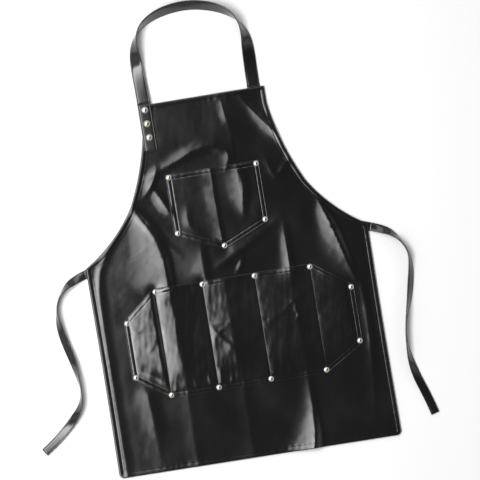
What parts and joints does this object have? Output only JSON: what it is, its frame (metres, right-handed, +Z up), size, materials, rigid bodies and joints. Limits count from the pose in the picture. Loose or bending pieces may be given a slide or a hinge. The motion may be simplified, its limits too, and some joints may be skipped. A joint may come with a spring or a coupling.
{
  "type": "artist smock apron",
  "caption": "Bib apron of glossy black leather lying flat: riveted chest pocket, divided waist pocket, snap neck strap and two free ties.",
  "frame": {"origin": "on the surface the apron lies on, under the middle of the panel's box", "axes": "+X to the right seen from the front, +Y towards the neck, +Z up from the surface, out of the front"},
  "size_m": [0.7462, 0.866, 0.0241],
  "materials": {
    "panel_leather": "glossy coated black with fine grain, creased",
    "pocket_leather": "glossy coated black with fine grain",
    "band_leather": "glossy coated black, two plies stitched",
    "rivet_nickel": "polished nickel",
    "snap_nickel": "polished nickel"
  },
  "bodies": {
    "apron": {"apron_panel": "panel_leather", "chest_pocket": "pocket_leather", "waist_pocket": "pocket_leather", "neck_strap_root": "band_leather", "waist_tie_left_root": "band_leather", "waist_tie_right_root": "band_leather", "chest_rivet_caps": "rivet_nickel", "waist_rivet_caps": "rivet_nickel", "chest_rivet_posts": "rivet_nickel", "waist_rivet_posts": "rivet_nickel", "snap_studs": "snap_nickel", "snap_posts": "snap_nickel"},
    "neck_strap": {"neck_strap": "band_leather", "neck_strap_tab": "band_leather", "snap_caps": "snap_nickel", "snap_sockets": "snap_nickel"},
    "left_tie": {"waist_tie_left": "band_leather"},
    "right_tie": {"waist_tie_right": "band_leather"}
  },
  "joints": [
    {"name": "neck_strap_swing", "type": "hinge", "parent": "apron", "child": "neck_strap", "pos_m": [0.1103, 0.345, 0.001], "axis": [0, 1, 0], "range_deg": [0, 150]},
    {"name": "left_tie_fold", "type": "hinge", "parent": "apron", "child": "left_tie", "pos_m": [-0.271, 0.0465, 0.002], "axis": [-0.2957, 0.9553, 0], "range_deg": [0, 120]},
    {"name": "right_tie_fold", "type": "hinge", "parent": "apron", "child": "right_tie", "pos_m": [0.271, 0.05, 0.002], "axis": [-0.3457, -0.9383, 0], "range_deg": [0, 120]}
  ]
}
